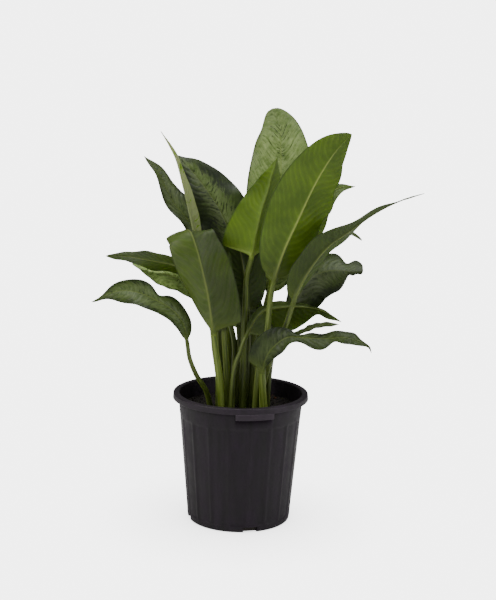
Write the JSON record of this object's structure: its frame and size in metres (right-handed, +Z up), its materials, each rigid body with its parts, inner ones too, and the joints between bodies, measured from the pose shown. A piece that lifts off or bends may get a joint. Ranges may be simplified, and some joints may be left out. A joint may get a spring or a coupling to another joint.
{
  "type": "potted foliage plant",
  "caption": "Leafy house plant with broad pointed silver-green leaves on long stalks, standing in the soil of a round fluted black nursery pot.",
  "frame": {"origin": "middle of the flat underside of the pot, on the surface it stands on", "axes": "+Z up, +X to the right and +Y away from the viewer in the picture's front view"},
  "size_m": [0.4586, 0.3094, 0.6035],
  "materials": {
    "pot": "matte",
    "soil": "matte",
    "leaf": "satin"
  },
  "bodies": {
    "root": {"pot": "pot", "soil": "soil", "leaf_big_right": "leaf", "leaf_top_back": "leaf", "leaf_centre_folded": "leaf", "leaf_shade_centre": "leaf", "leaf_upper_left": "leaf", "leaf_spear": "leaf", "leaf_left_back": "leaf", "leaf_front_left": "leaf", "leaf_left_edge": "leaf", "leaf_left_silver": "leaf", "leaf_left_low": "leaf", "leaf_right_long": "leaf", "leaf_right_hook": "leaf", "leaf_mid_right": "leaf", "leaf_low_arch": "leaf", "leaf_low_right": "leaf", "leaf_low_thin": "leaf", "leaf_right_tip": "leaf", "leaf_inner_left": "leaf", "leaf_inner_mid": "leaf", "leaf_inner_right": "leaf", "leaf_back_mid": "leaf", "leaf_back_left": "leaf", "leaf_back_right": "leaf", "leaf_back_low": "leaf"}
  },
  "joints": []
}
